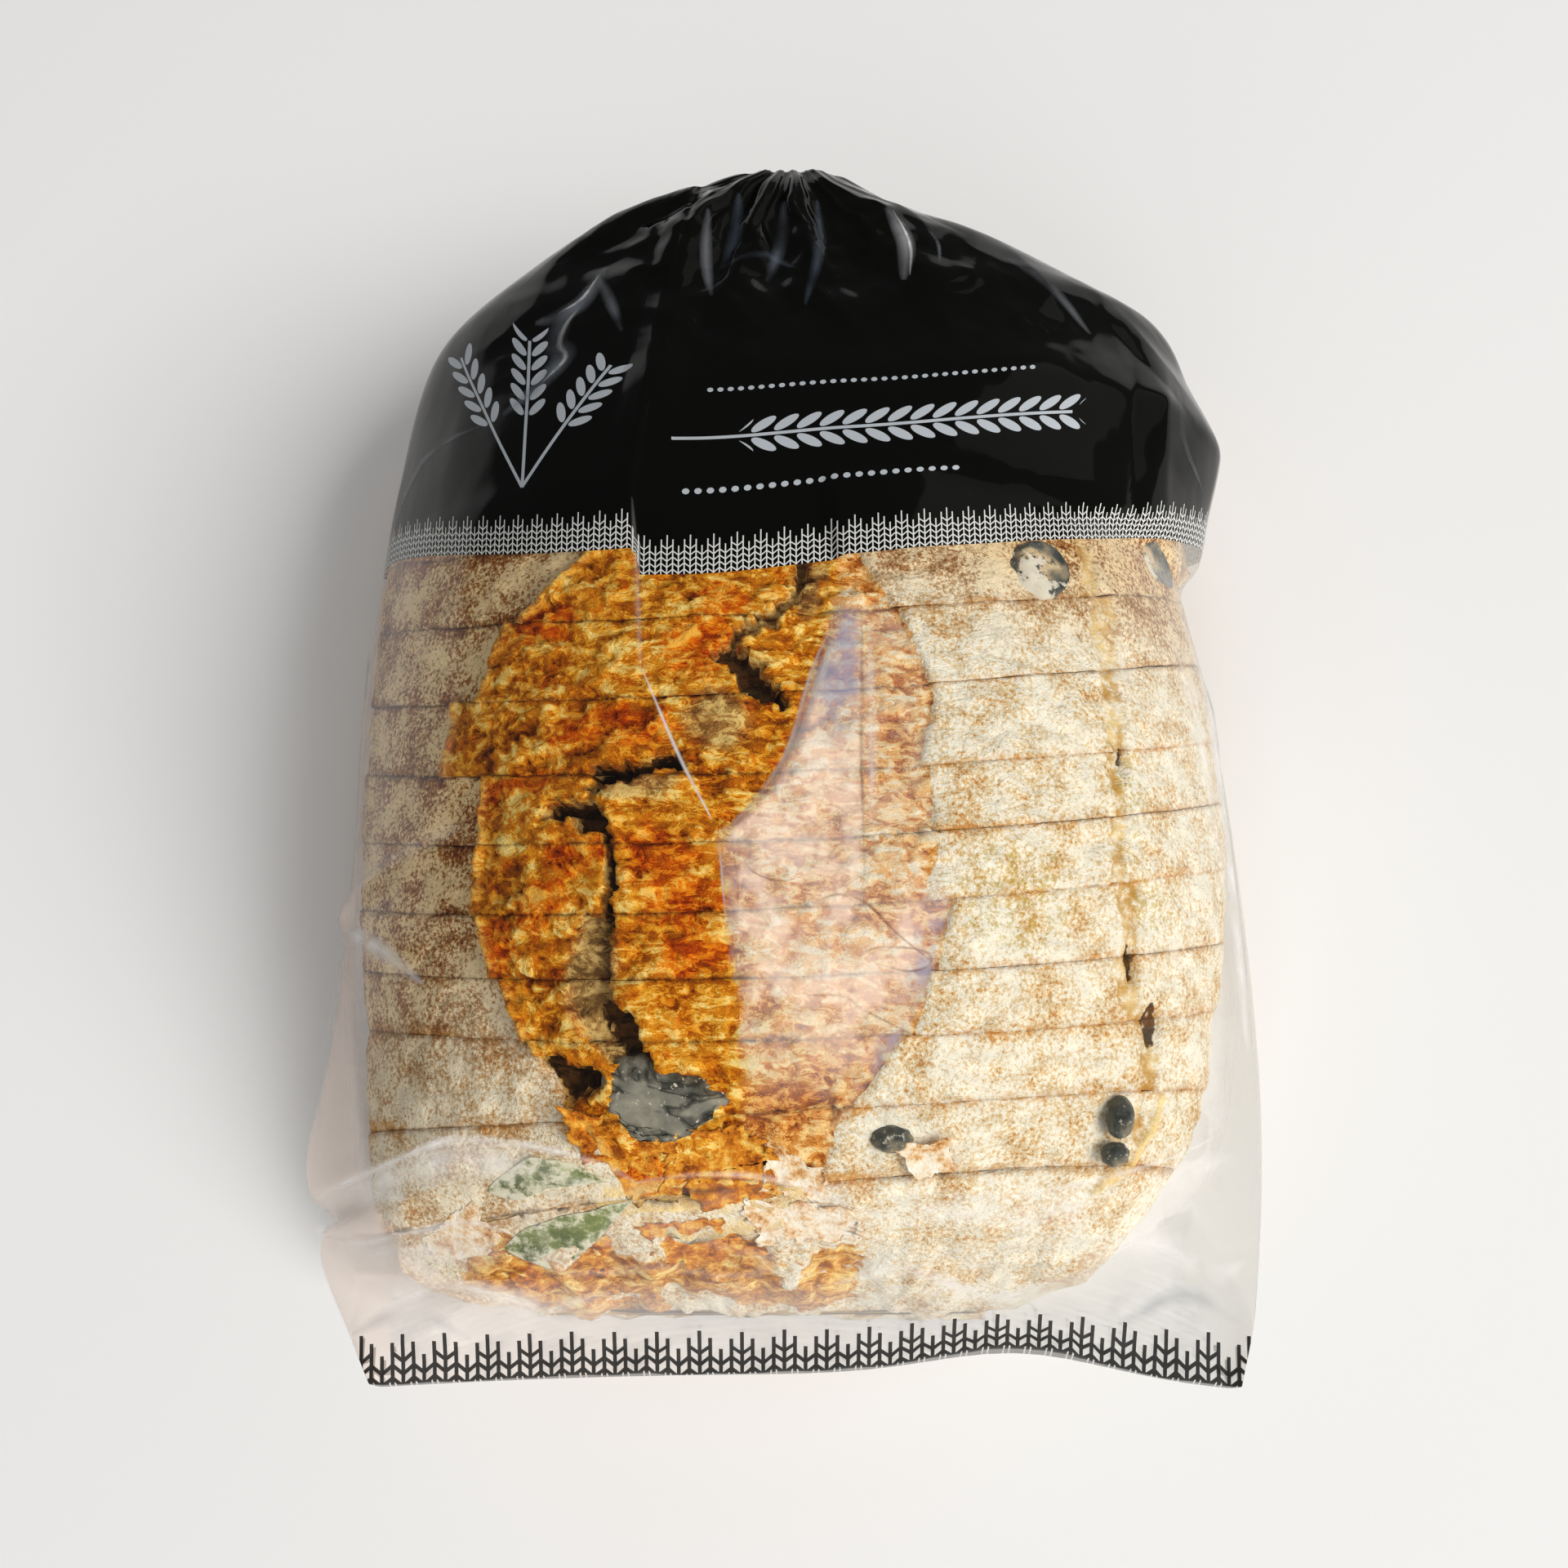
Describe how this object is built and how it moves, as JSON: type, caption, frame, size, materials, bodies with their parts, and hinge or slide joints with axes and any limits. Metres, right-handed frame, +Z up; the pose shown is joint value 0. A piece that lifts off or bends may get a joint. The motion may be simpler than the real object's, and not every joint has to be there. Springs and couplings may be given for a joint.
{
  "type": "sliced loaf in bread bag",
  "caption": "Filled film bread bag lying flat, domed over a sliced rustic loaf, with a flat seam at one end and a gathered neck tucked under at the other.",
  "frame": {"origin": "middle of the footprint's box, on the surface that the bag lies on", "axes": "+Z up out of the shown front, +Y towards the gathered neck, +X to the right seen from the front"},
  "size_m": [0.2052, 0.2718, 0.0872],
  "materials": {
    "film": "clear glossy packing film",
    "film_print": "glossy black print on film",
    "crust": "matt floured bread crust",
    "crumb": "matt open bread crumb",
    "olive": "satin baked olive",
    "herb": "matt green leaf"
  },
  "bodies": {
    "root": {"bag": "film"}
  },
  "joints": []
}
